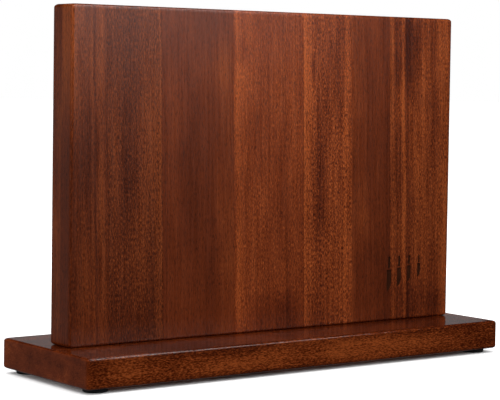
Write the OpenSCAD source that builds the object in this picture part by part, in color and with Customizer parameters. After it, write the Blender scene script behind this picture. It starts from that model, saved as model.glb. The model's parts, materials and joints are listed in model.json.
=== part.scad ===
// Double-sided magnetic knife board: an upright wooden panel that hides rows of
// disc magnets, bolted down on a wooden base with four rubber feet.
//
// Millimetres. +X runs along the panel's width, +Z is up, and -Y is the front,
// the side with the engraved mark. The origin is on the table top under the
// middle of the base.

/* [Panel] */
// Width of the panel, end to end
panel_w = 325; // [315:1:345]
// Height of the panel above the base
panel_h = 219; // [205:1:260]
// Thickness of the panel, both half-boards together
panel_t = 24; // [24:1:30]
// Radius along the panel's long edges
panel_edge_r = 2; // [1:0.5:3]
// Radius of the panel's corners, seen from the front
panel_corner_r = 2.5; // [1:0.5:6]
// Lean of the glue lines between the staves, in degrees
stave_lean = 1.25; // [0:0.05:2]

/* [Base] */
// Width of the base, end to end
base_w = 348; // [346:1:400]
// Depth of the base, front to back
base_d = 107; // [90:1:140]
// Thickness of the base board
base_h = 20; // [18:1:26]
// Radius along the base's top and bottom edges
base_edge_r = 2; // [1:0.5:4]
// Radius of the base's corners, seen from above
base_corner_r = 2.5; // [1:0.5:8]

/* [Feet] */
// Diameter of a rubber foot
foot_d = 16; // [12:1:20]
// Gap that the feet leave under the base
foot_gap = 3; // [2:0.5:6]
// Thickness of the adhesive disc on top of a foot
adhesive_t = 0.3; // [0.2:0.1:0.6]
// Distance from a foot's centre to the base's end
foot_inset_x = 13; // [12:1:40]
// Distance from a foot's centre to the base's long side
foot_inset_y = 12; // [12:1:30]

/* [Magnets] */
// Diameter of a disc magnet
magnet_d = 20; // [12:1:25]
// Thickness of a disc magnet
magnet_h = 10; // [4:1:10]
// Magnets in each row
magnet_columns = 6; // [2:1:6]
// Distance between neighbouring magnets in a row
magnet_pitch = 54; // [40:1:54]
// Height of the bottom row above the base
first_row_z = 50; // [40:1:55]
// Distance between the rows
row_pitch = 65; // [30:1:70]

/* [Fastening] */
// Distance between neighbouring screws
screw_pitch = 110; // [80:1:120]
// Distance between the two dowels
dowel_pitch = 110; // [90:1:130]
// Length of a dowel
dowel_l = 32; // [24:1:40]

/* [Engraved mark] */
// Distance from the mark's middle to the panel's right end
mark_from_end = 43; // [30:1:80]
// Height of the mark's middle above the base
mark_z = 34; // [20:1:80]
// Length of the longest engraved knife
mark_l = 25; // [12:1:28]
// Depth of the engraving
mark_depth = 0.4; // [0.2:0.1:0.8]

/* [Hidden] */
$fn = 64;

FRONT = -1;
BACK = 1;
eps = 0.01;

// Widths of the staves at mid height, from left to right, for the standard
// panel; a wider or narrower panel takes them in the same proportions.
FRONT_WIDTHS = [28, 42, 58, 60, 43, 36, 58];
BACK_WIDTHS = [52, 61, 44, 58, 39, 71];

// Heights of the main levels above the table.
base_z = foot_gap;
panel_z = base_z + base_h;
mid_z = panel_z + panel_h / 2;

// M6 hardware.
screw_d = 5.9;
screw_l = 25;
screw_hole_d = 6.6;
screw_head_d = 10;
screw_head_h = 6;
socket_af = 5;
socket_depth = 3;
washer_d = 12;
washer_hole_d = 6.4;
washer_t = 1.6;
counterbore_d = 14;
counterbore_depth = 8;
insert_d = 9.5;
insert_bore_d = 6;
insert_l = 15;
dowel_d = 8;
dowel_chamfer = 1;
dowel_in_base = 12;
foot_round = 0.8;

SCREW_X = [-screw_pitch, 0, screw_pitch];
DOWEL_X = [-dowel_pitch / 2, dowel_pitch / 2];

TOP_ROW = 2;
MIDDLE_ROW = 1;
BOTTOM_ROW = 0;

// Tones of the finished wood, used in turn.
WOODS = [[0.45, 0.17, 0.09], [0.35, 0.13, 0.08], [0.30, 0.11, 0.07], [0.40, 0.15, 0.08]];

function sum_to(v, n) = n == 0 ? 0 : v[n - 1] + sum_to(v, n - 1);

// The glue line before stave number i, at mid height.
function line_x(widths, i) =
    panel_w * (sum_to(widths, i) / sum_to(widths, len(widths)) - 0.5);

function magnet_x(i) = (i - (magnet_columns - 1) / 2) * magnet_pitch;

function row_z(row) = panel_z + first_row_z + row * row_pitch;

module rounded_rectangle(w, h, r) {
    square([w - 2 * r, h], center = true);
    square([w, h - 2 * r], center = true);
    for (x = [-1, 1], y = [-1, 1])
        translate([x * (w / 2 - r), y * (h / 2 - r)])
            circle(r);
}

// A board centred on the origin with rounded edges. corner_r rounds the corners
// of its broad face, which looks along Z, and edge_r the edges round that face.
module rounded_board(w, d, h, corner_r, edge_r) {
    intersection() {
        linear_extrude(h, center = true)
            rounded_rectangle(w, d, corner_r);
        rotate([90, 0, 0])
            linear_extrude(d, center = true)
                rounded_rectangle(w, h, edge_r);
        rotate([90, 0, 90])
            linear_extrude(w, center = true)
                rounded_rectangle(d, h, edge_r);
    }
}

// The whole panel before it is divided: one board standing on its long side.
module panel_form() {
    translate([0, 0, mid_z])
        rotate([90, 0, 0])
            rounded_board(panel_w, panel_h, panel_t, panel_corner_r, panel_edge_r);
}

// The space of one stave: half the panel's thickness between two glue lines.
// The first and the last stave run on past the panel's ends.
module stave_slice(widths, i, side) {
    half_h = panel_h / 2 + 1;
    slip = half_h * tan(stave_lean);
    past_end = 2 * slip + 1;
    left = line_x(widths, i) - (i == 0 ? past_end : 0);
    right = line_x(widths, i + 1) + (i == len(widths) - 1 ? past_end : 0);
    thick = panel_t / 2 + 1;
    translate([0, side * thick / 2, mid_z])
        rotate([90, 0, 0])
            linear_extrude(thick, center = true)
                polygon([
                    [left + slip, -half_h],
                    [right + slip, -half_h],
                    [right - slip, half_h],
                    [left - slip, half_h]
                ]);
}

// Discs of one row on one side, lying against the middle glue line.
module row_of_discs(side, row, d, h) {
    for (i = [0 : magnet_columns - 1])
        translate([magnet_x(i), 0, row_z(row)])
            rotate([side * -90, 0, 0])
                cylinder(d = d, h = h);
}

// Upright cylinders in the panel's lower edge, for the inserts and the dowels.
module panel_sockets() {
    for (x = SCREW_X)
        translate([x, 0, panel_z - eps])
            cylinder(d = insert_d, h = insert_l + eps);
    for (x = DOWEL_X)
        translate([x, 0, panel_z - eps])
            cylinder(d = dowel_d, h = dowel_l - dowel_in_base + 1 + eps);
}

// One knife, point down, with its top end at the origin.
module knife_outline(l) {
    handle_l = 0.36 * l;
    handle_w = 0.085 * l;
    blade_l = 0.61 * l;
    blade_w = 0.17 * l;
    belly = 0.5 * blade_l;
    translate([-handle_w / 2, handle_w / 2 - handle_l])
        square([handle_w, handle_l - handle_w]);
    for (y = [-handle_w / 2, handle_w / 2 - handle_l])
        translate([0, y])
            circle(d = handle_w);
    translate([-blade_w / 2, -l])
        polygon(concat(
            [[0, 0], [0, blade_l], [blade_w, blade_l]],
            [for (a = [0 : 15 : 75]) [blade_w * cos(a), belly * (1 - sin(a))]]
        ));
}

// Four knives of falling size, cut into the front face.
module mark_cut() {
    sizes = [1, 0.88, 0.76, 0.64];
    pitch = 0.38 * mark_l;
    for (i = [0 : len(sizes) - 1])
        translate([
            panel_w / 2 - mark_from_end + (i - (len(sizes) - 1) / 2) * pitch,
            mark_depth - panel_t / 2,
            panel_z + mark_z + mark_l / 2
        ])
            rotate([90, 0, 0])
                linear_extrude(mark_depth + 1)
                    knife_outline(sizes[i] * mark_l);
}

module stave(widths, i, side) {
    color(WOODS[(i + (side == BACK ? 1 : 0)) % len(WOODS)])
        difference() {
            intersection() {
                panel_form();
                stave_slice(widths, i, side);
            }
            for (row = [BOTTOM_ROW, MIDDLE_ROW, TOP_ROW])
                row_of_discs(side, row, magnet_d, magnet_h);
            panel_sockets();
            if (side == FRONT)
                mark_cut();
        }
}

module magnets(side, row) {
    color("silver")
        row_of_discs(side, row, magnet_d, magnet_h);
}

module base_board() {
    color(WOODS[1])
        difference() {
            translate([0, 0, base_z + base_h / 2])
                rounded_board(base_w, base_d, base_h, base_corner_r, base_edge_r);
            for (x = SCREW_X)
                translate([x, 0, base_z]) {
                    translate([0, 0, -1])
                        cylinder(d = screw_hole_d, h = base_h + 2);
                    translate([0, 0, -1])
                        cylinder(d = counterbore_d, h = counterbore_depth + 1);
                }
            for (x = DOWEL_X)
                translate([x, 0, panel_z - dowel_in_base - 1])
                    cylinder(d = dowel_d, h = dowel_in_base + 2);
        }
}

module threaded_inserts() {
    color("goldenrod")
        for (x = SCREW_X)
            translate([x, 0, panel_z])
                difference() {
                    cylinder(d = insert_d, h = insert_l);
                    translate([0, 0, -1])
                        cylinder(d = insert_bore_d, h = insert_l + 2);
                }
}

// Cap screws, heads down in the counterbores and each on its washer.
module socket_screws() {
    seat_z = base_z + counterbore_depth - washer_t;
    color("dimgray")
        for (x = SCREW_X)
            translate([x, 0, seat_z])
                difference() {
                    union() {
                        cylinder(d = screw_d, h = screw_l);
                        translate([0, 0, -screw_head_h])
                            cylinder(d = screw_head_d, h = screw_head_h);
                    }
                    translate([0, 0, -screw_head_h - 1])
                        cylinder(d = socket_af / cos(30), h = socket_depth + 1, $fn = 6);
                }
}

module washers() {
    color("lightgray")
        for (x = SCREW_X)
            translate([x, 0, base_z + counterbore_depth - washer_t])
                difference() {
                    cylinder(d = washer_d, h = washer_t);
                    translate([0, 0, -1])
                        cylinder(d = washer_hole_d, h = washer_t + 2);
                }
}

module dowels() {
    r = dowel_d / 2;
    color("burlywood")
        for (x = DOWEL_X)
            translate([x, 0, panel_z - dowel_in_base])
                rotate_extrude()
                    polygon([
                        [0, 0],
                        [r - dowel_chamfer, 0],
                        [r, dowel_chamfer],
                        [r, dowel_l - dowel_chamfer],
                        [r - dowel_chamfer, dowel_l],
                        [0, dowel_l]
                    ]);
}

// The place of a foot: x_side is -1 on the left, y_side is FRONT or BACK.
module at_foot(x_side, y_side) {
    translate([x_side * (base_w / 2 - foot_inset_x), y_side * (base_d / 2 - foot_inset_y), 0])
        children();
}

module foot(x_side, y_side) {
    r = foot_d / 2;
    h = foot_gap - adhesive_t;
    color([0.09, 0.09, 0.09])
        at_foot(x_side, y_side)
            rotate_extrude()
                union() {
                    translate([0, foot_round])
                        square([r, h - foot_round]);
                    square([r - foot_round, h]);
                    translate([r - foot_round, foot_round])
                        circle(foot_round);
                }
}

module adhesive_discs() {
    color("whitesmoke")
        for (x_side = [-1, 1], y_side = [FRONT, BACK])
            at_foot(x_side, y_side)
                translate([0, 0, foot_gap - adhesive_t])
                    cylinder(d = foot_d - 1, h = adhesive_t);
}

stave(FRONT_WIDTHS, 0, FRONT);  // front_stave_1
stave(FRONT_WIDTHS, 1, FRONT);  // front_stave_2
stave(FRONT_WIDTHS, 2, FRONT);  // front_stave_3
stave(FRONT_WIDTHS, 3, FRONT);  // front_stave_4
stave(FRONT_WIDTHS, 4, FRONT);  // front_stave_5
stave(FRONT_WIDTHS, 5, FRONT);  // front_stave_6
stave(FRONT_WIDTHS, 6, FRONT);  // front_stave_7
stave(BACK_WIDTHS, 0, BACK);  // back_stave_1
stave(BACK_WIDTHS, 1, BACK);  // back_stave_2
stave(BACK_WIDTHS, 2, BACK);  // back_stave_3
stave(BACK_WIDTHS, 3, BACK);  // back_stave_4
stave(BACK_WIDTHS, 4, BACK);  // back_stave_5
stave(BACK_WIDTHS, 5, BACK);  // back_stave_6
base_board();
magnets(FRONT, TOP_ROW);  // front_magnets_top
magnets(FRONT, MIDDLE_ROW);  // front_magnets_middle
magnets(FRONT, BOTTOM_ROW);  // front_magnets_bottom
magnets(BACK, TOP_ROW);  // back_magnets_top
magnets(BACK, MIDDLE_ROW);  // back_magnets_middle
magnets(BACK, BOTTOM_ROW);  // back_magnets_bottom
threaded_inserts();
socket_screws();
washers();
dowels();
foot(-1, FRONT);  // foot_front_left
foot(1, FRONT);  // foot_front_right
foot(-1, BACK);  // foot_back_left
foot(1, BACK);  // foot_back_right
adhesive_discs();
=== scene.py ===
import json
import math

import bmesh
import bpy
import numpy as np
from mathutils import Euler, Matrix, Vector

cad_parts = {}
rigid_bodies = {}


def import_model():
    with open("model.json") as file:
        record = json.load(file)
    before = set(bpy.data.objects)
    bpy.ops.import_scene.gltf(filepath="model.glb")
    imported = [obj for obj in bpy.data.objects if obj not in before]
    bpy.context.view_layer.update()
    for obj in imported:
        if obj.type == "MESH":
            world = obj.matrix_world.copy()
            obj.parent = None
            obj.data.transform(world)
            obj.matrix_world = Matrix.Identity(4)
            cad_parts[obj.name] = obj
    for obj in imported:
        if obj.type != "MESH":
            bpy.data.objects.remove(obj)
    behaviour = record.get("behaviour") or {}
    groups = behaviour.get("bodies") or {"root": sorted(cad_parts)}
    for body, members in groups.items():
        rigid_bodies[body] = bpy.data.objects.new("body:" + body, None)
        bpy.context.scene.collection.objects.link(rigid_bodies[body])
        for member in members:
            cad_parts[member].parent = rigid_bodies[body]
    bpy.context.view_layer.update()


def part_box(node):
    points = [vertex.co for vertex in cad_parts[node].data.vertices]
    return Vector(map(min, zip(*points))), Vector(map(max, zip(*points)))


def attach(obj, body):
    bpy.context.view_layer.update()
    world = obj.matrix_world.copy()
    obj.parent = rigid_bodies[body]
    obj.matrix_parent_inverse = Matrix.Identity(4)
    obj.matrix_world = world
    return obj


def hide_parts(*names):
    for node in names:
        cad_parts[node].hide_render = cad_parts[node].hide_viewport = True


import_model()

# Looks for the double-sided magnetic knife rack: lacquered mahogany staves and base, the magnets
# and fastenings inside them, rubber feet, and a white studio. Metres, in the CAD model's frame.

MM = 0.001
FRONT, BACK = -1, 1
ROOT = "root"

# ---------------------------------------------------------------- sizes read from the frame

FRONT_STAVES = [f"front_stave_{i}" for i in range(1, 8)]
BACK_STAVES = [f"back_stave_{i}" for i in range(1, 7)]
ROWS = ("top", "middle", "bottom")
MAGNET_ROWS = [f"{side}_magnets_{row}" for side in ("front", "back") for row in ROWS]
FEET = ["foot_front_left", "foot_front_right", "foot_back_left", "foot_back_right"]
MAGNET_COLUMNS = 6
SCREWS = 3
DOWELS = 2

BASE_LO, BASE_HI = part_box("base_board")
PANEL_LO = Vector(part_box("front_stave_1")[0])
PANEL_HI = Vector(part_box("back_stave_6")[1])
PANEL_H = PANEL_HI.z - PANEL_LO.z
HALF_T = PANEL_HI.y
MID_Z = (PANEL_LO.z + PANEL_HI.z) / 2

STAVE_LEAN = math.radians(1.25)     # the glue lines lean to the left going up
SLIP = math.tan(STAVE_LEAN)
EDGE_R = 2.0 * MM                   # rounding of the edges round the panel's and the base's faces
CORNER_R = 2.5 * MM                 # rounding of those faces' corners
ARRIS = 0.06 * MM                   # the eased edge on each side of a glue line
SWELL = 0.03 * MM                   # how uneven the sanded faces are
ARC_STEPS = 8                       # flats in one of those roundings
ROW_PITCH = 4.0 * MM                # height between the rows of points on the wood
COLUMN_PITCH = 3.0 * MM             # and between the points along a row
SHARP_ANGLE = math.radians(30)      # edges sharper than this stay sharp in the shading

SCREW_R = 3.0 * MM                  # M6
CLEARANCE_R = 3.3 * MM              # the hole that a screw passes through in the base
COUNTERBORE_R = 7.0 * MM
INSERT_HOLE_R, INSERT_HOLE_DEPTH = 4.75 * MM, 15.0 * MM
CUT_MARGIN = 1.0 * MM               # how far a cutter starts outside the wood
DOWEL_ROOM = 1.0 * MM               # left in the holes beyond each end of a dowel
POCKET_GAP = 0.01 * MM              # between a magnet's rim and its pocket
POCKET_EXTRA = 1.0 * MM             # and behind it, towards the middle of the panel
POCKET_EDGE_R, MAGNET_EDGE_R = 0.01 * MM, 0.4 * MM
BORE_STEPS = 64                     # flats round a magnet or a drilled hole
TURNED_STEPS = 72                   # and round the other turned and moulded pieces


# ---------------------------------------------------------------- mesh helpers

def object_from(bm, name, material):
    """Makes a smoothly shaded object of a bmesh."""
    bmesh.ops.recalc_face_normals(bm, faces=bm.faces)
    mesh = bpy.data.meshes.new(name)
    bm.to_mesh(mesh)
    bm.free()
    smooth(mesh)
    mesh.materials.append(material)
    obj = bpy.data.objects.new(name, mesh)
    bpy.context.scene.collection.objects.link(obj)
    return obj


def smooth(mesh):
    for polygon in mesh.polygons:
        polygon.use_smooth = True
    mesh.set_sharp_from_angle(angle=SHARP_ANGLE)


def loft(bm, rings, tube=False):
    """Joins rings of points, all of the same length, into a closed skin. A tube's last ring joins
    its first one; otherwise the two end rings are filled."""
    rows = [[bm.verts.new(p) for p in ring] for ring in rings]
    count = len(rows[0])
    for low, high in zip(rows, rows[1:] + (rows[:1] if tube else [])):
        for i in range(count):
            j = (i + 1) % count
            bm.faces.new((low[i], low[j], high[j], high[i]))
    if not tube:
        bm.faces.new(rows[0][::-1])
        bm.faces.new(rows[-1])


def lathe(bm, profile, centre, steps):
    """Turns (radius, height) points round an upright axis. A closed profile makes a ring."""
    closed = profile[0] == profile[-1]
    points = profile[:-1] if closed else profile
    cx, cy, cz = centre
    angles = [2 * math.pi * k / steps for k in range(steps)]
    rows = []
    for radius, height in points:
        if radius == 0:
            rows.append([bm.verts.new((cx, cy, cz + height))])
            continue
        ring = [(cx + radius * math.cos(a), cy + radius * math.sin(a), cz + height) for a in angles]
        rows.append([bm.verts.new(point) for point in ring])
    pairs = list(zip(rows, rows[1:]))
    if closed:
        pairs.append((rows[-1], rows[0]))
    for a, b in pairs:
        for k in range(steps):
            m = (k + 1) % steps
            corners = [a[k % len(a)], a[m % len(a)], b[m % len(b)], b[k % len(b)]]
            bm.faces.new(list(dict.fromkeys(corners)))


def edge_drop(distance, radius):
    """How far a rounded edge has fallen back, at a distance from the face it starts from."""
    if distance >= radius:
        return 0.0
    return radius - math.sqrt(max(radius * radius - (radius - distance) ** 2, 0.0))


def levels(low, high, radius):
    """Heights from low to high, close together over the rounded ends."""
    arc = [radius * (1 - math.cos(math.pi / 2 * k / ARC_STEPS)) for k in range(ARC_STEPS + 1)]
    body = np.linspace(low + radius, high - radius, round((high - low) / ROW_PITCH))[1:-1]
    return [low + d for d in arc] + [float(v) for v in body] + [high - d for d in reversed(arc)]


def cut(obj, cutter):
    """Takes the cutter out of the object, whose new faces get the cutter's own material."""
    modifier = obj.modifiers.new("cut", "BOOLEAN")
    modifier.operation = "DIFFERENCE"
    modifier.object = cutter
    modifier.solver = "EXACT"
    modifier.material_mode = "TRANSFER"
    bpy.context.view_layer.update()
    mesh = bpy.data.meshes.new_from_object(obj.evaluated_get(bpy.context.evaluated_depsgraph_get()))
    obj.modifiers.clear()
    old, obj.data = obj.data, mesh
    bpy.data.meshes.remove(old)


def finish_piece(obj, slot, *nodes):
    """Puts a finished piece into the frame in place of its CAD nodes."""
    smooth(obj.data)
    weighted = obj.modifiers.new("even_normals", "WEIGHTED_NORMAL")
    weighted.keep_sharp = True
    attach(obj, ROOT)
    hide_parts(*nodes)


# ---------------------------------------------------------------- materials

class Nodes:
    """A material's node tree, with short calls for the nodes that the finishes here need."""

    def __init__(self, name):
        self.material = bpy.data.materials.new(name)
        self.material.use_nodes = True
        self.tree = self.material.node_tree
        self.shader = self.tree.nodes["Principled BSDF"]

    def add(self, kind, **settings):
        node = self.tree.nodes.new(kind)
        for key, value in settings.items():
            setattr(node, key, value)
        return node

    def put(self, node, name, value):
        """Sets an input to a number, a colour or a point, or links another node's output to it."""
        socket = node.inputs[name]
        if isinstance(value, bpy.types.NodeSocket):
            self.tree.links.new(value, socket)
        else:
            socket.default_value = value

    def math(self, operation, a, b=0.0, c=0.0):
        node = self.add("ShaderNodeMath", operation=operation)
        for i, value in enumerate((a, b, c)):
            self.put(node, i, value)
        return node.outputs[0]

    def swing(self, value, field, amount):
        """The value moved up and down by a noise, about the noise's own middle."""
        return self.math("MULTIPLY_ADD", self.math("SUBTRACT", field, 0.5), amount, value)

    def noise(self, vector, scale, detail=2.0, roughness=0.5):
        node = self.add("ShaderNodeTexNoise")
        self.put(node, "Vector", vector)
        self.put(node, "Scale", scale)
        self.put(node, "Detail", detail)
        self.put(node, "Roughness", roughness)
        return node.outputs["Fac"]

    def place(self, offset=(0, 0, 0), turn=(0, 0, 0), stretch=(1, 1, 1)):
        """The point on the object, moved, turned and stretched."""
        coordinates = self.add("ShaderNodeTexCoord")
        moved = self.add("ShaderNodeMapping", vector_type="POINT")
        self.put(moved, "Vector", coordinates.outputs["Object"])
        self.put(moved, "Location", offset)
        self.put(moved, "Rotation", turn)
        self.put(moved, "Scale", stretch)
        return moved.outputs[0]

    def stretched(self, vector, across, deep, along):
        node = self.add("ShaderNodeVectorMath", operation="MULTIPLY")
        self.put(node, 0, vector)
        self.put(node, 1, (across, deep, along))
        return node.outputs[0]

    def ramp(self, value, stops, interpolation="LINEAR"):
        node = self.add("ShaderNodeValToRGB")
        node.color_ramp.interpolation = interpolation
        elements = node.color_ramp.elements
        while len(elements) < len(stops):
            elements.new(1.0)
        for element, (position, colour) in zip(elements, stops):
            element.position = position
            element.color = (*colour, 1.0) if isinstance(colour, tuple) else (colour, colour, colour, 1.0)
        self.put(node, "Fac", value)
        return node.outputs["Color"]

    def between(self, value, low, high, to_low=0.0, to_high=1.0):
        node = self.add("ShaderNodeMapRange", clamp=True)
        for name, number in (("Value", value), ("From Min", low), ("From Max", high),
                             ("To Min", to_low), ("To Max", to_high)):
            self.put(node, name, number)
        return node.outputs["Result"]

    def mix(self, factor, a, b):
        node = self.add("ShaderNodeMix", data_type="RGBA", blend_type="MIX")
        self.put(node, 0, factor)
        for index, value in ((6, a), (7, b)):
            self.put(node, index, (*value, 1.0) if isinstance(value, tuple) else value)
        return node.outputs[2]

    def bump(self, height, strength, distance):
        node = self.add("ShaderNodeBump")
        self.put(node, "Height", height)
        self.put(node, "Strength", strength)
        self.put(node, "Distance", distance)
        self.put(self.shader, "Normal", node.outputs[0])


GRAIN = {
    # cycles per metre across the grain, into the wood and along the grain
    "ribbon": (110, 40, 6),
    "fibre": (700, 700, 25),
    "blotch": (30, 30, 18),
    "fleck": (1500, 1500, 480),
    "line": (160, 60, 2.5),
    "pore": (1500, 1500, 260),
}


def wood(name, seed, tones, look, along="Z", lacquer=True, span=None):
    """Timber with its grain along an axis. tones are its dark, middle and light colours, and look
    says how much of each kind of figure it has. span is where look's across tones start and end."""
    n = Nodes(name)
    if along == "Z":
        grain = n.place(offset=(-MID_Z * math.sin(STAVE_LEAN), 0, 0), turn=(0, STAVE_LEAN, 0))
    else:
        grain = n.place(turn=(0, math.pi / 2, 0))
    shifted = n.add("ShaderNodeVectorMath", operation="ADD")
    n.put(shifted, 0, grain)
    n.put(shifted, 1, (seed * 0.37, seed * 0.71, seed * 1.13))
    point = shifted.outputs[0]

    ribbon = n.noise(n.stretched(point, *GRAIN["ribbon"]), 1.0, 3.0, 0.6)
    fibre = n.noise(n.stretched(point, *GRAIN["fibre"]), 1.0, 3.0, 0.6)
    blotch = n.noise(n.stretched(point, *GRAIN["blotch"]), 1.0, 3.0, 0.6)
    fleck = n.noise(n.stretched(point, *GRAIN["fleck"]), 1.0, 2.5, 0.65)
    line = n.noise(n.stretched(point, *GRAIN["line"]), 1.0, 1.0, 0.5)

    value = n.swing(0.5, ribbon, look["stripes"])
    value = n.swing(value, blotch, look["mottle"])
    value = n.swing(value, fibre, look["fibres"])
    if "across" in look:
        split = n.add("ShaderNodeSeparateXYZ")
        n.put(split, 0, grain)
        place = n.between(split.outputs["X"], *span)
        tone = n.ramp(n.swing(place, blotch, 0.10), look["across"], "EASE")
        value = n.math("ADD", value, n.math("SUBTRACT", tone, 0.5))
    # the patches add darker and lighter places: partly figure, partly painted light and shade, lighter
    # near the top and darker low down
    for patch in look.get("figure_and_painted_light_patches", ()):
        value = n.math("ADD", value, figure_and_painted_light_patch(n, grain, blotch, along, patch))
    # the flecks fade on a stave's narrow sides and on the base's ends, and the end grain of the panel is
    # darker; the whole top of the base is darkened as painted shade, for the panel's shadow on it
    normal = n.add("ShaderNodeSeparateXYZ")
    n.put(normal, 0, n.add("ShaderNodeTexCoord").outputs["Normal"])
    flecks, few = look["flecks"], 0.3 * look["flecks"]
    if along == "Z":
        strength = n.between(n.math("ABSOLUTE", normal.outputs["Y"]), 0.3, 0.9, few, flecks)
        end_grain_and_painted_top_shade = n.between(n.math("ABSOLUTE", normal.outputs["Z"]), 0.5, 0.9, 0.0, 0.15)
    else:
        strength = n.between(n.math("ABSOLUTE", normal.outputs["X"]), 0.3, 0.9, flecks, few)
        # painted shade: the base's upward faces are darkened, standing for the panel's shadow on them
        end_grain_and_painted_top_shade = n.between(normal.outputs["Z"], 0.5, 0.9, 0.0, 0.13)
    value = n.math("SUBTRACT", value, end_grain_and_painted_top_shade)
    value = n.swing(value, fleck, strength)
    colour = n.ramp(value, [(0.1, tones[0]), (0.5, tones[1]), (0.9, tones[2])])

    # thin dark growth lines, where the slow noise crosses its middle
    thin = n.between(n.math("ABSOLUTE", n.math("SUBTRACT", line, 0.47)), 0.0, 0.012, 0.30, 0.0)
    line_colour = tuple(0.5 * c for c in tones[0])
    colour = n.mix(thin, colour, line_colour)

    # open pores: short dark dashes along the grain
    cells = n.add("ShaderNodeTexVoronoi", feature="F1")
    n.put(cells, "Vector", n.stretched(point, *GRAIN["pore"]))
    n.put(cells, "Scale", 1.0)
    pore = n.between(cells.outputs["Distance"], 0.15, 0.40, 1.0, 0.0)
    colour = n.mix(n.math("MULTIPLY", pore, 0.75), colour, line_colour)
    n.put(n.shader, "Base Color", colour)

    n.shader.inputs["IOR"].default_value = look.get("ior", 1.5)
    if lacquer:
        sheen = look.get("roughness", 0.27)
        n.put(n.shader, "Roughness", n.between(fibre, 0.3, 0.7, sheen - 0.03, sheen + 0.04))
    else:
        n.shader.inputs["Roughness"].default_value = 0.75
    height = n.math("MULTIPLY_ADD", pore, -0.8, n.math("MULTIPLY", fibre, 0.5))
    n.bump(height, 0.25, 0.08 * MM)
    return n.material


def figure_and_painted_light_patch(n, grain, blotch, along, patch):
    """A soft-edged darker or lighter place, partly figure in the wood and partly painted light and shade
    (lighter near the top, darker low down). Its centre is in millimetres, along X
    and up Z, then come its half sizes in the same directions and its tone."""
    x, z, half_x, half_z, amount = patch
    if along == "Z":
        centre, half = (x * MM, 0, z * MM), (half_x * MM, half_z * MM)
    else:
        centre, half = (z * MM, 0, -x * MM), (half_z * MM, half_x * MM)
    offset = n.add("ShaderNodeVectorMath", operation="SUBTRACT")
    n.put(offset, 0, grain)
    n.put(offset, 1, centre)
    distance = n.add("ShaderNodeVectorMath", operation="LENGTH")
    n.put(distance, 0, n.stretched(offset.outputs[0], 1 / half[0], 0, 1 / half[1]))
    ragged = n.swing(distance.outputs["Value"], blotch, 1.2)
    return n.between(ragged, 0.3, 1.1, amount, 0.0)


def plain(name, colour, roughness, metallic=0.0, grain=600.0, contrast=0.2, bump=0.1,
          stretch=(1, 1, 1), ior=1.5):
    """A metal, rubber or plastic with a fine uneven grain in its colour and its gloss."""
    n = Nodes(name)
    fine = n.noise(n.place(stretch=stretch), grain, 3.0, 0.6)
    broad = n.noise(n.place(), grain / 12, 2.0, 0.5)
    both = n.math("MULTIPLY_ADD", broad, 0.5, n.math("MULTIPLY", fine, 0.5))
    dark = tuple(c * (1 - contrast) for c in colour)
    light = tuple(min(c * (1 + contrast), 1.0) for c in colour)
    n.put(n.shader, "Base Color", n.ramp(both, [(0.3, dark), (0.7, light)]))
    n.put(n.shader, "Roughness", n.between(both, 0.3, 0.7, roughness * 0.8, min(roughness * 1.2, 1.0)))
    n.shader.inputs["Metallic"].default_value = metallic
    n.shader.inputs["IOR"].default_value = ior
    n.bump(fine, bump, 0.05 * MM)
    return n.material


# ---------------------------------------------------------------- the panel's staves

def stave_span(name, first, last):
    """The places at mid height of a stave's two glue lines or ends."""
    low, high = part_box(name)
    slip = PANEL_H / 2 * SLIP
    return (low[0] if first else low[0] + slip), (high[0] if last else high[0] - slip)


def swell(x, z):
    """The sanded face's slow unevenness: two crossing waves and a shorter one on top."""
    crossing = math.sin(71 * x + 23 * z) * math.sin(37 * z - 19 * x)
    return SWELL * (crossing + 0.5 * math.sin(113 * x - 91 * z + 1.3))


def stave_ring(span, side, z, first, last):
    """One level of a stave, seen from above. It starts and ends on the middle glue plane."""
    off_end = min(z - PANEL_LO.z, PANEL_HI.z - z)
    back_off = edge_drop(off_end, EDGE_R)
    pull_in = edge_drop(off_end, CORNER_R)
    face = HALF_T - back_off
    shift = -(z - MID_Z) * SLIP
    left = span[0] + (pull_in if first else shift)
    right = span[1] - (pull_in if last else -shift)
    count = max(6, round((span[1] - span[0]) / COLUMN_PITCH))

    def corner(x, inward, rounded):
        """From the side to the face: a round at the panel's ends, an arris at a glue line."""
        if not rounded:
            return [(x, face - ARRIS), (x + inward * ARRIS, face)]
        points = []
        for k in range(ARC_STEPS + 1):
            a = math.pi / 2 * k / ARC_STEPS
            points.append((x + inward * EDGE_R * (1 - math.cos(a)), face - EDGE_R * (1 - math.sin(a))))
        return points

    near = corner(left, 1, first)
    far = corner(right, -1, last)[::-1]
    start, stop = near[-1][0], far[0][0]
    middle = []
    for k in range(1, count):
        t = k / count
        x = start + (stop - start) * t
        fade = math.sin(math.pi * t) ** 0.5
        middle.append((x, face + fade * swell(x, z)))
    outline = [(left, 0.0)] + near + middle + far + [(right, 0.0)]
    return [(x, side * y, z) for x, y in outline]


def build_stave(name, side, first, last, material):
    span = stave_span(name, first, last)
    heights = levels(PANEL_LO.z, PANEL_HI.z, CORNER_R)
    bm = bmesh.new()
    loft(bm, [stave_ring(span, side, z, first, last) for z in heights])
    return object_from(bm, name + "_wood", material)


def spread(low, high, count):
    """Places of a row of round pieces across its box, and the pieces' radius."""
    radius = (high[1] - low[1]) / 2
    return [float(x) for x in np.linspace(low[0] + radius, high[0] - radius, count)], radius


def disc_places(node):
    """The centres of a row's magnets, and the radius and the thickness of one."""
    low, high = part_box(node)
    radius = (high[2] - low[2]) / 2
    y, z = (low[1] + high[1]) / 2, (low[2] + high[2]) / 2
    xs = np.linspace(low[0] + radius, high[0] - radius, MAGNET_COLUMNS)
    return [(float(x), y, z) for x in xs], radius, high[1] - low[1]


def quarter(radius, steps):
    """How far a rounded edge has fallen back from the side and from the face, from the face on."""
    angles = [math.pi / 2 * k / steps for k in range(steps + 1)]
    return [(radius * (1 - math.sin(a)), radius * (1 - math.cos(a))) for a in angles]


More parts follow.
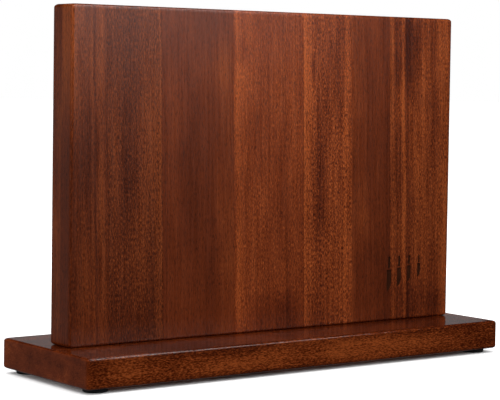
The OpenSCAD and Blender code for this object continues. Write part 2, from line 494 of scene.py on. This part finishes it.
def turned_disc(bm, centre, radius, thickness, edge):
    """A disc lying on its side, with its axis along Y and a rounded edge."""
    start = len(bm.verts)
    half = thickness / 2
    rim = [(radius - off_side, half - off_face) for off_side, off_face in quarter(edge, 4)]
    profile = [(0.0, -half)] + [(r, -h) for r, h in rim]
    profile += [(r, h) for r, h in reversed(rim)] + [(0.0, half)]
    lathe(bm, profile, (0, 0, 0), BORE_STEPS)
    bm.verts.ensure_lookup_table()
    for vert in bm.verts[start:]:
        x, y, z = vert.co
        vert.co = (x + centre[0], z + centre[1], y + centre[2])


def screw_places():
    return spread(*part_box("socket_screws"), SCREWS)[0]


def dowel_places():
    return spread(*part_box("dowels"), DOWELS)


def upright_cylinder(bm, x, radius, low, high):
    profile = [(0.0, low), (radius, low), (radius, high), (0.0, high)]
    lathe(bm, profile, (x, 0.0, 0.0), BORE_STEPS)


def panel_cutter(side, material):
    """What is bored out of the half-board on one side."""
    below = PANEL_LO.z - CUT_MARGIN
    bm = bmesh.new()
    for node in MAGNET_ROWS:
        if node.startswith("front") == (side == FRONT):
            places, radius, depth = disc_places(node)
            for x, y, z in places:
                centre = (x, y - side * POCKET_EXTRA / 2, z)
                turned_disc(bm, centre, radius + POCKET_GAP, depth + POCKET_EXTRA, POCKET_EDGE_R)
    for x in screw_places():
        upright_cylinder(bm, x, INSERT_HOLE_R, below, PANEL_LO.z + INSERT_HOLE_DEPTH)
    places, radius = dowel_places()
    for x in places:
        upright_cylinder(bm, x, radius, below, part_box("dowels")[1][2] + DOWEL_ROOM)
    return object_from(bm, f"cutter_{side}", material)


def knife_outline(length):
    """One knife, point down, with its top end at the origin: handle and blade outlines."""
    handle_l, handle_w = 0.36 * length, 0.085 * length
    blade_l, blade_w = 0.61 * length, 0.17 * length
    handle = []
    for centre, start in ((-handle_w / 2, 0), (handle_w / 2 - handle_l, 180)):
        for k in range(13):
            a = math.radians(start + 15 * k)
            handle.append((handle_w / 2 * math.cos(a), centre + handle_w / 2 * math.sin(a)))
    blade = [(-blade_w / 2, blade_l - length)]
    for k in range(16):
        a = math.radians(90 - 6 * k)
        blade.append((blade_w * math.cos(a) - blade_w / 2, blade_l / 2 * (1 - math.sin(a)) - length))
    blade.append((blade_w / 2, blade_l - length))
    return handle, blade


def mark_cutter(material):
    """Four knives of falling size, engraved low on the right of the front face."""
    longest, from_end, height, depth = 25 * MM, 43 * MM, 34 * MM, 0.4 * MM
    sizes = (1, 0.88, 0.76, 0.64)
    bm = bmesh.new()
    for i, size in enumerate(sizes):
        x0 = PANEL_HI.x - from_end + (i - (len(sizes) - 1) / 2) * 0.38 * longest
        z0 = PANEL_LO.z + height + longest / 2
        for outline in knife_outline(size * longest):
            loft(bm, [[(x0 + x, y, z0 + z) for x, z in outline]
                      for y in (-HALF_T + depth, -HALF_T - CUT_MARGIN)])
    return object_from(bm, "cutter_mark", material)


# ---------------------------------------------------------------- the base board

def rounded_outline(low, high, inset, radius):
    """A rectangle with round corners, seen from above, at an inset from the sides of its box."""
    x0, x1 = low[0] + inset, high[0] - inset
    y0, y1 = low[1] + inset, high[1] - inset
    points = []
    for cx, cy, start in ((x1, y1, 0), (x0, y1, 90), (x0, y0, 180), (x1, y0, 270)):
        sx = -1 if cx == x1 else 1
        sy = -1 if cy == y1 else 1
        for k in range(ARC_STEPS + 1):
            a = math.radians(start + 90 * k / ARC_STEPS)
            x = cx + sx * radius + radius * math.cos(a)
            y = cy + sy * radius + radius * math.sin(a)
            points.append((x, y))
    return points


def build_base(material):
    bm = bmesh.new()
    rings = []
    for z in levels(BASE_LO[2], BASE_HI[2], EDGE_R):
        drop = edge_drop(min(z - BASE_LO[2], BASE_HI[2] - z), EDGE_R)
        rings.append([(x, y, z) for x, y in rounded_outline(BASE_LO, BASE_HI, drop, CORNER_R)])
    loft(bm, rings)
    return object_from(bm, "base_board_wood", material)


def base_cutter(material):
    """What is bored out of the base: counterbored holes for the screws and blind ones for the dowels."""
    below, above = BASE_LO[2] - CUT_MARGIN, BASE_HI[2] + CUT_MARGIN
    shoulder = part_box("washers")[1][2]
    profile = [(0.0, below), (COUNTERBORE_R, below), (COUNTERBORE_R, shoulder),
               (CLEARANCE_R, shoulder), (CLEARANCE_R, above), (0.0, above)]
    bm = bmesh.new()
    for x in screw_places():
        lathe(bm, profile, (x, 0, 0), BORE_STEPS)
    places, radius = dowel_places()
    for x in places:
        upright_cylinder(bm, x, radius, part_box("dowels")[0][2] - DOWEL_ROOM, above)
    return object_from(bm, "cutter_base", material)


# ---------------------------------------------------------------- hardware

def magnet_row(node, material):
    places, radius, depth = disc_places(node)
    bm = bmesh.new()
    for place in places:
        turned_disc(bm, place, radius, depth, MAGNET_EDGE_R)
    return object_from(bm, node + "_discs", material)


def ring_at(x, z, radius, steps=TURNED_STEPS):
    """A level ring round an upright axis on the rack's middle plane. The radius may be a number
    or a function of the angle."""
    angles = [2 * math.pi * k / steps for k in range(steps)]
    radii = [radius(a) if callable(radius) else radius for a in angles]
    return [(x + r * math.cos(a), r * math.sin(a), z) for a, r in zip(angles, radii)]


def thread(x, low, high, crest, depth, pitch, sharp, rows_per_turn):
    """Rings of a screw thread that runs out at both ends. A sharpness of 1 gives it plain V
    flanks, and more gives it a narrow crest and a flat root."""
    rings = []
    count = round((high - low) / pitch * rows_per_turn)
    for i in range(count + 1):
        z = low + (high - low) * i / count
        run_out = min(1.0, (z - low) / pitch, (high - z) / pitch)

        def radius(a, z=z, run_out=run_out):
            turn = (z / pitch - a / (2 * math.pi)) % 1.0
            return crest - depth * run_out * min(1.0, sharp * abs(2 * turn - 1))

        rings.append(ring_at(x, z, radius))
    return rings


def socket_screw(bm, x, low, high, head_r, head_h):
    """A cap screw standing on its head, which has a hexagon socket and a knurled rim."""
    half_key, pitch = 2.5 * MM, 1.0 * MM

    def hexagon(a):
        return half_key / math.cos(a % (math.pi / 3) - math.pi / 6)

    def knurl(a):
        return head_r - (0.2 * MM if round(a / (2 * math.pi) * TURNED_STEPS) % 2 else 0.0)

    head = [
        # height and radius, from the bottom of the socket round the rim to the shank
        (3.5 * MM, 0.3 * MM), (2.9 * MM, hexagon), (0.25 * MM, hexagon), (0.0, half_key * 1.22),
        (0.0, head_r - 0.55 * MM), (0.35 * MM, head_r - 0.18 * MM), (0.6 * MM, knurl),
        (head_h - 0.5 * MM, knurl), (head_h - 0.3 * MM, head_r - 0.18 * MM),
        (head_h, head_r - 0.4 * MM), (head_h, SCREW_R + 0.25 * MM), (head_h + 0.25 * MM, SCREW_R),
    ]
    start, stop = low + head_h + 2 * MM, high - 0.7 * MM
    rings = [ring_at(x, low + height, radius) for height, radius in head]
    rings += thread(x, start, stop, SCREW_R - 0.02 * MM, 0.6 * MM, pitch, 1.0, 16)
    rings += [ring_at(x, high, SCREW_R - 0.7 * MM)]
    loft(bm, rings)


def socket_screws(material):
    low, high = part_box("socket_screws")
    head_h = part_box("washers")[0][2] - low[2]
    bm = bmesh.new()
    for x in screw_places():
        socket_screw(bm, x, low[2], high[2], high[1], head_h)
    return object_from(bm, "cap_screws", material)


def inserts(material):
    """Threaded bushes: a coarse sharp thread outside for the wood and a plain bore inside."""
    low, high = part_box("threaded_inserts")
    outer, depth, pitch = high[1], 0.9 * MM, 2.5 * MM
    slope, plain_end = 0.4 * MM, 0.6 * MM
    bm = bmesh.new()
    for x in screw_places():
        rings = [ring_at(x, low[2], SCREW_R + slope), ring_at(x, low[2], outer - depth)]
        rings += thread(x, low[2] + plain_end, high[2] - plain_end, outer, depth, pitch, 2.2, 30)
        rings += [ring_at(x, high[2], outer - depth), ring_at(x, high[2], SCREW_R + slope)]
        rings += [ring_at(x, high[2] - slope, SCREW_R), ring_at(x, low[2] + slope, SCREW_R)]
        loft(bm, rings, tube=True)
    return object_from(bm, "insert_bushes", material)


def washers(material):
    """Pressed washers: the edge is round on top, where the press pulled it, and crisp below."""
    low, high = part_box("washers")
    outer, bore, crisp = high[1], 3.2 * MM, 0.08 * MM
    thick = high[2] - low[2]
    soft = quarter(0.35 * MM, 4)
    profile = [(bore, crisp), (bore + crisp, 0.0), (outer - crisp, 0.0), (outer, crisp)]
    profile += [(outer - off_side, thick - off_face) for off_side, off_face in reversed(soft)]
    profile += [(bore + off_side, thick - off_face) for off_side, off_face in soft]
    profile.append(profile[0])
    bm = bmesh.new()
    for x in screw_places():
        lathe(bm, profile, (x, 0.0, low[2]), TURNED_STEPS)
    return object_from(bm, "flat_washers", material)


def dowels(material):
    """Beech pegs with straight glue grooves and tapered ends."""
    low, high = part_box("dowels")
    places, radius = dowel_places()
    taper, end_r = 1.2 * MM, radius - 0.9 * MM
    grooves, groove_depth = 18, 0.28 * MM

    def grooved(a):
        return radius - groove_depth * max(0.0, math.cos(grooves * a)) ** 2

    shape = [(low[2], end_r), (low[2] + taper, grooved), (high[2] - taper, grooved), (high[2], end_r)]
    bm = bmesh.new()
    for x in places:
        loft(bm, [ring_at(x, z, r, 8 * grooves) for z, r in shape])
    return object_from(bm, "grooved_pegs", material)


def foot_centre(node):
    low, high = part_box(node)
    return (low[0] + high[0]) / 2, (low[1] + high[1]) / 2


def adhesive(material):
    """The sticky discs between the feet and the base, with a slightly bulging edge."""
    low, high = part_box("adhesive_discs")
    thick, bulge = high[2] - low[2], 0.08 * MM
    bm = bmesh.new()
    for node in FEET:
        x, y = foot_centre(node)
        r = x - low[0] if x < 0 else high[0] - x
        profile = [(0.0, 0.0), (r - bulge, 0.0), (r, thick / 2), (r - bulge, thick), (0.0, thick)]
        lathe(bm, profile, (x, y, low[2]), TURNED_STEPS)
    return object_from(bm, "sticky_discs", material)


def foot(node, material):
    """A rubber foot, hollowed underneath, with a round lower edge."""
    low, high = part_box(node)
    r, h = (high[0] - low[0]) / 2, high[2] - low[2]
    rim = [(r - off_side, off_face) for off_side, off_face in quarter(0.8 * MM, 6)]
    profile = [(0.0, 0.35 * MM), (0.45 * r, 0.33 * MM), (0.60 * r, 0.25 * MM), (0.68 * r, 0.0)]
    profile += rim + [(r, h * 0.8), (r - 0.25 * MM, h), (0.0, h)]
    bm = bmesh.new()
    lathe(bm, profile, (*foot_centre(node), low[2]), TURNED_STEPS)
    return object_from(bm, node + "_rubber", material)


# ---------------------------------------------------------------- build

DARK = (0.060, 0.0085, 0.0022)
MIDDLE = (0.215, 0.0370, 0.0075)
LIGHT = (0.50, 0.108, 0.022)
EVEN = {"stripes": 0.5, "mottle": 0.5, "fibres": 0.5, "flecks": 1.0}


def mahogany(brightness):
    """The timber's dark, middle and light colours at a brightness."""
    return tuple(tuple(c * brightness for c in colour) for colour in (DARK, MIDDLE, LIGHT))


burnt = plain("burnt_wood", (0.055, 0.016, 0.007), 0.9, grain=900, contrast=0.4, ior=1.15)
raw = wood("raw_wood", 3, mahogany(1.6), EVEN, lacquer=False)

cutters = {side: panel_cutter(side, raw) for side in (FRONT, BACK)}
mark = mark_cutter(burnt)

# The front staves' figure. across gives the tone at places from one glue line, 0, to the other, 1.
# Patches are placed from the middle of the rack and from the floor; they are partly figure and partly
# painted light and shade, lighter near the top and darker low down.
FRONT_LOOK = {
    1: {"bright": 0.91, "stripes": 0.5, "mottle": 0.4, "fibres": 0.4, "flecks": 1.5,
        "across": [(0, 0.5), (0.3, 0.5), (0.52, 0.42), (0.6, 0.58), (0.66, 0.34), (0.72, 0.5),
                   (0.85, 0.6), (0.97, 0.5), (1, 0.42)],
        "figure_and_painted_light_patches": [(-150, 228, 20, 60, 0.12), (-164, 232, 9, 70, 0.17), (-150, 60, 9, 45, 0.10),
                    (-154, 130, 12, 45, -0.10), (-164, 70, 6, 70, -0.08)]},
    2: {"bright": 0.88, "stripes": 0.4, "mottle": 0.4, "fibres": 0.4, "flecks": 2.3,
        "across": [(0, 0.46), (0.1, 0.5), (0.35, 0.42), (0.5, 0.45), (0.6, 0.52), (0.8, 0.56),
                   (0.93, 0.58), (0.97, 0.70), (1, 0.40)],
        "figure_and_painted_light_patches": [(-119, 138, 10, 45, -0.12), (-99, 173, 8, 60, 0.10), (-113, 38, 25, 25, -0.08),
                    (-131, 223, 6, 30, -0.08)]},
    3: {"bright": 1.12, "stripes": 0.3, "mottle": 0.4, "fibres": 0.3, "flecks": 0.6,
        "across": [(0, 0.42), (0.1, 0.48), (0.3, 0.46), (0.45, 0.41), (0.68, 0.40), (0.82, 0.48),
                   (0.92, 0.52), (1, 0.50)],
        "figure_and_painted_light_patches": [(-68, 143, 16, 70, -0.06), (-44, 203, 9, 22, 0.12), (-54, 190, 22, 50, 0.06)]},
    4: {"bright": 1.46, "stripes": 0.4, "mottle": 0.4, "fibres": 0.4, "flecks": 1.5,
        "across": [(0, 0.5), (0.06, 0.62), (0.12, 0.52), (0.5, 0.5), (0.8, 0.5), (1, 0.46)],
        "figure_and_painted_light_patches": [(-28, 193, 20, 30, 0.06), (-28, 215, 8, 12, -0.08), (-5, 28, 45, 26, -0.15),
                    (0, 205, 30, 40, 0.06)]},
    5: {"bright": 1.44, "stripes": 0.6, "mottle": 0.5, "fibres": 0.6, "flecks": 2.7,
        "across": [(0, 0.66), (0.12, 0.64), (0.2, 0.5), (0.3, 0.40), (0.4, 0.48), (0.5, 0.46),
                   (0.7, 0.45), (0.8, 0.5), (0.87, 0.64), (0.93, 0.5), (1, 0.5)],
        "figure_and_painted_light_patches": [(40, 118, 4, 35, -0.10), (34, 203, 3, 12, -0.20), (38, 60, 10, 40, 0.10),
                    (36, 180, 14, 50, 0.05)]},
    6: {"bright": 1.15, "stripes": 0.4, "mottle": 0.4, "fibres": 0.4, "flecks": 0.8,
        "across": [(0, 0.55), (0.2, 0.5), (0.5, 0.48), (0.75, 0.42), (0.9, 0.36), (1, 0.34)],
        "figure_and_painted_light_patches": [(85, 58, 16, 40, -0.10)]},
    7: {"bright": 1.20, "stripes": 0.6, "mottle": 0.5, "fibres": 0.6, "flecks": 2.1,
        "across": [(0, 0.5), (0.06, 0.62), (0.1, 0.45), (0.18, 0.5), (0.23, 0.80), (0.28, 0.28),
                   (0.34, 0.42), (0.42, 0.58), (0.55, 0.60), (0.62, 0.45), (0.68, 0.40), (0.8, 0.55),
                   (0.92, 0.66), (1, 0.5)],
        "figure_and_painted_light_patches": [(123, 212, 18, 46, -0.25), (138, 32, 30, 16, -0.12), (140, 110, 22, 60, 0.06)]},
}
# the base's patches are partly figure and partly painted light and shade: lighter across the middle of
# the front, darker towards its top and bottom
BASE_LOOK = {
    "stripes": 0.5, "mottle": 0.8, "fibres": 0.4, "flecks": 2.3, "roughness": 0.12, "ior": 1.33,
    "figure_and_painted_light_patches": [(-142, 12, 20, 8, 0.08), (-52, 11, 45, 8, 0.21), (52, 13, 60, 9, 0.27),
                (106, 13, 20, 5, 0.10), (-76, 21, 60, 4, -0.16), (110, 22, 60, 4, -0.14),
                (156, 17, 25, 8, -0.10), (-44, 4, 40, 3, -0.18), (-168, 18, 10, 10, -0.12),
                (0, 23.5, 500, 1.6, -0.10), (-88, 12, 30, 9, 0.11), (24, 13, 18, 9, 0.12)],
}

for number, name in enumerate(FRONT_STAVES, 1):
    first, last = number == 1, number == len(FRONT_STAVES)
    look = FRONT_LOOK[number]
    material = wood(f"mahogany_front_{number}", number, mahogany(look["bright"]), look,
                    span=stave_span(name, first, last))
    stave = build_stave(name, FRONT, first, last, material)
    cut(stave, cutters[FRONT])
    if number >= len(FRONT_STAVES) - 1:     # the mark crosses the last two staves
        cut(stave, mark)
    finish_piece(stave, "panel_wood", name)

BACK_BRIGHTNESS = (0.85, 1.05, 0.75, 1.0, 0.8, 0.95)
for number, name in enumerate(BACK_STAVES, 1):
    first, last = number == 1, number == len(BACK_STAVES)
    tones = mahogany(BACK_BRIGHTNESS[number - 1])
    material = wood(f"mahogany_back_{number}", number + 20, tones, EVEN)
    stave = build_stave(name, BACK, first, last, material)
    cut(stave, cutters[BACK])
    finish_piece(stave, "panel_wood", name)

base_wood = wood("mahogany_base", 41, mahogany(1.12), BASE_LOOK, along="X")
base = build_base(base_wood)
base_cut = base_cutter(raw)
cut(base, base_cut)
finish_piece(base, "base_wood", "base_board")

nickel = plain("nickel_plating", (0.62, 0.60, 0.55), 0.22, 1.0, grain=900, contrast=0.06)
for node in MAGNET_ROWS:
    finish_piece(magnet_row(node, nickel), "magnet_plating", node)

rubber = plain("black_rubber", (0.012, 0.012, 0.012), 0.7, grain=1200, contrast=0.3, bump=0.3)
for node in FEET:
    finish_piece(foot(node, rubber), "foot_rubber", node)

brass = plain("turned_brass", (0.60, 0.42, 0.16), 0.3, 1.0, contrast=0.1)
oxide = plain("black_oxide", (0.05, 0.05, 0.055), 0.38, 1.0)
zinc = plain("zinc_plating", (0.55, 0.56, 0.58), 0.3, 1.0, contrast=0.1)
foam = plain("sticky_foam", (0.62, 0.61, 0.58), 0.6, contrast=0.05)
beech = plain("beech", (0.55, 0.36, 0.19), 0.7, grain=1500, contrast=0.35, stretch=(1, 1, 0.08))
FITTINGS = [
    # node, what builds it, slot, material
    ("threaded_inserts", inserts, "insert_brass", brass),
    ("socket_screws", socket_screws, "screw_steel", oxide),
    ("washers", washers, "washer_steel", zinc),
    ("adhesive_discs", adhesive, "adhesive", foam),
    ("dowels", dowels, "dowel_wood", beech),
]
for node, build, slot, material in FITTINGS:
    finish_piece(build(material), slot, node)

for obj in [*cutters.values(), mark, base_cut]:
    bpy.data.objects.remove(obj)

# ---------------------------------------------------------------- studio

FLOOR_LIGHT, FLOOR_LIGHT_SPREAD = 4.2, math.radians(160)
FLOOR_GLOW, ROOM_GLOW = 0.11, 0.004     # the world's strength below and above the horizon
HORIZON_BLEND = 0.03                    # how softly one goes over into the other
FRONT_GLOSS, BACK_GLOSS = -0.8, 0.3     # how much weaker or stronger gloss sees it to each side
SIDE_BLEND = 0.2

CAMERA_PLACE = (-0.7581, -1.0022, 0.1959)
CAMERA_YAW, CAMERA_PITCH, CAMERA_ROLL = math.radians(36.652), math.radians(-2.550), math.radians(0.827)
CAMERA_SENSOR, CAMERA_LENS, CAMERA_SHIFT = 36.0, 131.14, -0.08

LIGHTS = [
    # name, place, what it points at, width and height, watts
    ("right_softbox", (0.45, -1.15, 0.55), (0, 0, 0.20), (0.8, 0.5), 3.3),
    ("front_strip", (0.0, -0.20, 0.52), (0, 0, 0.20), (0.5, 0.15), 1.15),
    ("left_strip", (-0.38, -0.18, 0.52), (-0.1, 0, 0.20), (0.25, 0.20), 0.3),
    ("left_softbox", (-1.30, -0.25, 0.30), (-0.16, 0, 0.10), (0.5, 0.4), 3.5),
    ("left_low", (-0.90, -0.45, 0.10), (-0.16, 0, 0.08), (0.6, 0.3), 0.65),
    ("back_softbox", (0.75, 1.25, 0.30), (0, 0, 0.10), (1.0, 0.45), 0.31),
    ("back_left", (-0.90, 1.00, 0.35), (0, 0, 0.10), (0.7, 0.5), 0.15),
    ("back_fill", (0.10, 0.80, 0.95), (0, 0, 0.12), (0.8, 0.4), 8.0),
]
# these would draw white lines along the panel's top and left edges
NOT_IN_GLOSS = ("back_fill", "left_softbox", "left_low")
EDGE_STRIP = ("edge_strip", (0.36, -0.47, 0.46), (0.36, -0.05, 0.04), (0.38, 0.12), 1.5)


def area_light(name, place, target, size, power):
    data = bpy.data.lights.new(name, "AREA")
    data.shape = "RECTANGLE"
    data.size, data.size_y = size
    data.energy = power
    obj = bpy.data.objects.new(name, data)
    bpy.context.scene.collection.objects.link(obj)
    obj.location = place
    obj.rotation_euler = (Vector(target) - Vector(place)).to_track_quat("-Z", "Y").to_euler()
    return obj


def light_only(light, obj, name):
    """Lets a light reach one object and nothing else."""
    receivers = bpy.data.collections.new(name)
    receivers.objects.link(obj)
    light.light_linking.receiver_collection = receivers


def studio_world():
    """White behind the object for the camera. Everything else sees a dark room with a dim glow
    from the floor's side, which fills the faces from below but shows little in the front's lacquer."""
    world = bpy.data.worlds.new("studio")
    world.use_nodes = True
    bpy.context.scene.world = world
    tree = world.node_tree
    tree.nodes.clear()

    def blend(value, half_width, to_low, to_high):
        node = tree.nodes.new("ShaderNodeMapRange")
        tree.links.new(value, node.inputs["Value"])
        for name, number in (("From Min", -half_width), ("From Max", half_width),
                             ("To Min", to_low), ("To Max", to_high)):
            node.inputs[name].default_value = number
        return node.outputs["Result"]

    direction = tree.nodes.new("ShaderNodeTexCoord")
    split = tree.nodes.new("ShaderNodeSeparateXYZ")
    tree.links.new(direction.outputs["Generated"], split.inputs[0])
    path = tree.nodes.new("ShaderNodeLightPath")
    in_gloss = tree.nodes.new("ShaderNodeMath")
    in_gloss.operation = "MULTIPLY_ADD"
    tree.links.new(path.outputs["Is Glossy Ray"], in_gloss.inputs[0])
    tree.links.new(blend(split.outputs["Y"], SIDE_BLEND, FRONT_GLOSS, BACK_GLOSS), in_gloss.inputs[1])
    in_gloss.inputs[2].default_value = 1.0
    dimmed = tree.nodes.new("ShaderNodeMath")
    dimmed.operation = "MULTIPLY"
    tree.links.new(blend(split.outputs["Z"], HORIZON_BLEND, FLOOR_GLOW, ROOM_GLOW), dimmed.inputs[0])
    tree.links.new(in_gloss.outputs[0], dimmed.inputs[1])
    room = tree.nodes.new("ShaderNodeBackground")
    tree.links.new(dimmed.outputs[0], room.inputs["Strength"])
    white = tree.nodes.new("ShaderNodeBackground")
    white.inputs["Color"].default_value = (1.0, 1.0, 1.0, 1.0)
    mix = tree.nodes.new("ShaderNodeMixShader")
    out = tree.nodes.new("ShaderNodeOutputWorld")
    tree.links.new(path.outputs["Is Camera Ray"], mix.inputs[0])
    tree.links.new(room.outputs[0], mix.inputs[1])
    tree.links.new(white.outputs[0], mix.inputs[2])
    tree.links.new(mix.outputs[0], out.inputs[0])


def studio_floor():
    """A white paper floor. A wide soft light reaches the floor alone, so that it stays white
    right up to the feet while the wood is lit on its own."""
    bm = bmesh.new()
    reach = 12.0
    corners = ((-reach, -reach), (reach, -reach), (reach, reach), (-reach, reach))
    bm.faces.new([bm.verts.new((x, y, 0.0)) for x, y in corners])
    n = Nodes("floor_paper")
    tone = n.noise(n.place(), 3.0, 2.0)
    n.put(n.shader, "Base Color", n.ramp(tone, [(0.3, (0.88, 0.88, 0.88)), (0.7, (0.90, 0.90, 0.90))]))
    n.shader.inputs["Roughness"].default_value = 0.9
    floor = object_from(bm, "floor", n.material)
    floor.visible_glossy = False
    floor.visible_diffuse = False
    data = bpy.data.lights.new("floor_light", "SUN")
    data.energy = FLOOR_LIGHT
    data.angle = FLOOR_LIGHT_SPREAD
    light = bpy.data.objects.new("floor_light", data)
    bpy.context.scene.collection.objects.link(light)
    light_only(light, floor, "lit_by_the_floor_light")


def softboxes():
    for light in LIGHTS:
        area_light(*light)
    for name in NOT_IN_GLOSS:
        bpy.data.objects[name].visible_glossy = False


def base_edge_strip():
    """A strip that only shows in the base's gloss draws the light line along its front edge."""
    strip = area_light(*EDGE_STRIP)
    strip.visible_diffuse = False
    light_only(strip, base, "lit_by_the_edge_strip")


def camera():
    data = bpy.data.cameras.new("camera")
    obj = bpy.data.objects.new("camera", data)
    bpy.context.scene.collection.objects.link(obj)
    data.sensor_width = CAMERA_SENSOR
    data.lens = CAMERA_LENS
    data.shift_y = CAMERA_SHIFT
    obj.location = CAMERA_PLACE
    look = Euler((math.pi / 2 + CAMERA_PITCH, 0, -CAMERA_YAW), "XYZ").to_quaternion()
    obj.rotation_mode = "QUATERNION"
    obj.rotation_quaternion = look @ Euler((0, 0, CAMERA_ROLL)).to_quaternion()
    bpy.context.scene.camera = obj


camera()
studio_world()
studio_floor()
softboxes()
base_edge_strip()
bpy.context.scene.view_settings.view_transform = "Standard"
